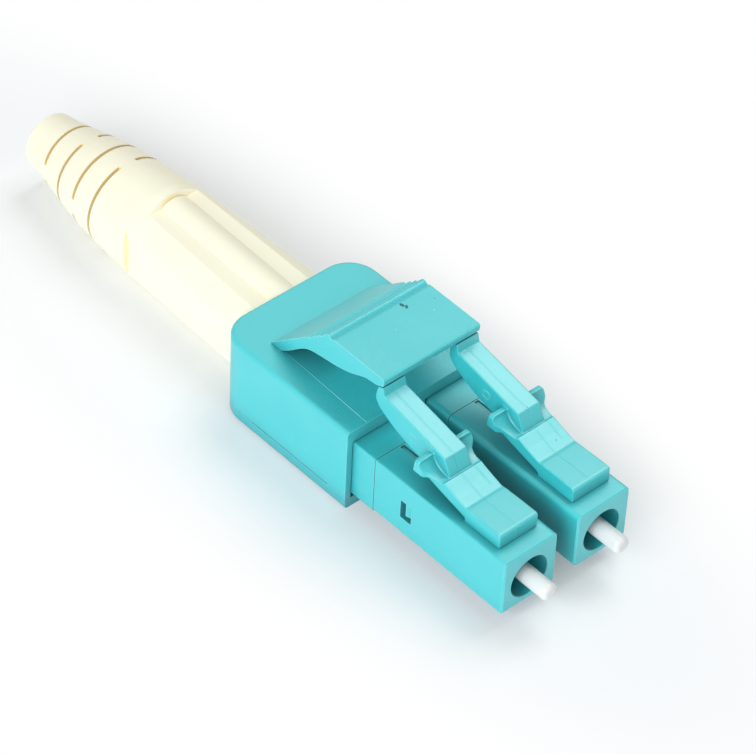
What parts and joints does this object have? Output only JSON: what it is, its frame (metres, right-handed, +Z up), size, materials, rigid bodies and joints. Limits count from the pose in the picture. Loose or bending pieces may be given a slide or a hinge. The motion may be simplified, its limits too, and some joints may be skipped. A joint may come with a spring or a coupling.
{
  "type": "lc fibre connector",
  "caption": "Duplex fibre connector: paired small plugs with white ferrules and flexing latches, one housing with a trigger, and a slit bend-relief boot for the cable.",
  "frame": {"origin": "middle of the part's outline seen from above, on the surface it rests on", "axes": "+Y rearward from the plugs to the boot, +Z up to the latches and trigger, +X to the right plug seen from the front"},
  "size_m": [0.0118, 0.054, 0.0112],
  "materials": {
    "housing_plastic": "satin moulded plastic with a fine grain",
    "plug_plastic": "satin moulded plastic",
    "latch_plastic": "smooth moulded plastic",
    "trigger_plastic": "satin moulded plastic with a fine grain",
    "boot_rubber": "soft matt elastomer",
    "ferrule_ceramic": "polished white ceramic",
    "flange_metal": "turned metal",
    "tube_plastic": "thin natural plastic tube",
    "spring_steel": "drawn spring wire",
    "clamp_metal": "turned metal",
    "crimp_metal": "plain soft metal ring"
  },
  "bodies": {
    "connector": {"housing": "housing_plastic", "bottom_cover": "housing_plastic", "left_plug_shell": "plug_plastic", "right_plug_shell": "plug_plastic", "left_rear_body": "housing_plastic", "right_rear_body": "housing_plastic", "left_spring": "spring_steel", "right_spring": "spring_steel", "cable_clamp": "clamp_metal", "crimp_ring": "crimp_metal", "boot": "boot_rubber"},
    "trigger_lever": {"trigger": "trigger_plastic"},
    "left_latch_arm": {"left_latch": "latch_plastic"},
    "right_latch_arm": {"right_latch": "latch_plastic"},
    "left_ferrule_set": {"left_ferrule": "ferrule_ceramic", "left_flange": "flange_metal", "left_guide_tube": "tube_plastic"},
    "right_ferrule_set": {"right_ferrule": "ferrule_ceramic", "right_flange": "flange_metal", "right_guide_tube": "tube_plastic"}
  },
  "joints": [
    {"name": "trigger_press", "type": "hinge", "parent": "connector", "child": "trigger_lever", "pos_m": [0, -0.00211, 0.00652], "axis": [1, 0, 0], "range_deg": [0, 5.5], "stiffness_Nm_per_rad": 0.05},
    {"name": "left_latch_flex", "type": "hinge", "parent": "connector", "child": "left_latch_arm", "pos_m": [-0.00313, -0.02093, 0.00622], "axis": [1, 0, 0], "range_deg": [-6.7, 0], "stiffness_Nm_per_rad": 0.02},
    {"name": "right_latch_flex", "type": "hinge", "parent": "connector", "child": "right_latch_arm", "pos_m": [0.00313, -0.02093, 0.00622], "axis": [1, 0, 0], "range_deg": [-6.7, 0], "stiffness_Nm_per_rad": 0.02},
    {"name": "left_ferrule_float", "type": "slide", "parent": "connector", "child": "left_ferrule_set", "axis": [0, 1, 0], "range_m": [0, 0.001], "stiffness_N_per_m": 800, "deforming": ["left_spring"]},
    {"name": "right_ferrule_float", "type": "slide", "parent": "connector", "child": "right_ferrule_set", "axis": [0, 1, 0], "range_m": [0, 0.001], "stiffness_N_per_m": 800, "deforming": ["right_spring"]}
  ],
  "couplings": [
    {"joint": "left_latch_flex", "follows": "trigger_press", "ratio": -1.2},
    {"joint": "right_latch_flex", "follows": "trigger_press", "ratio": -1.2}
  ]
}
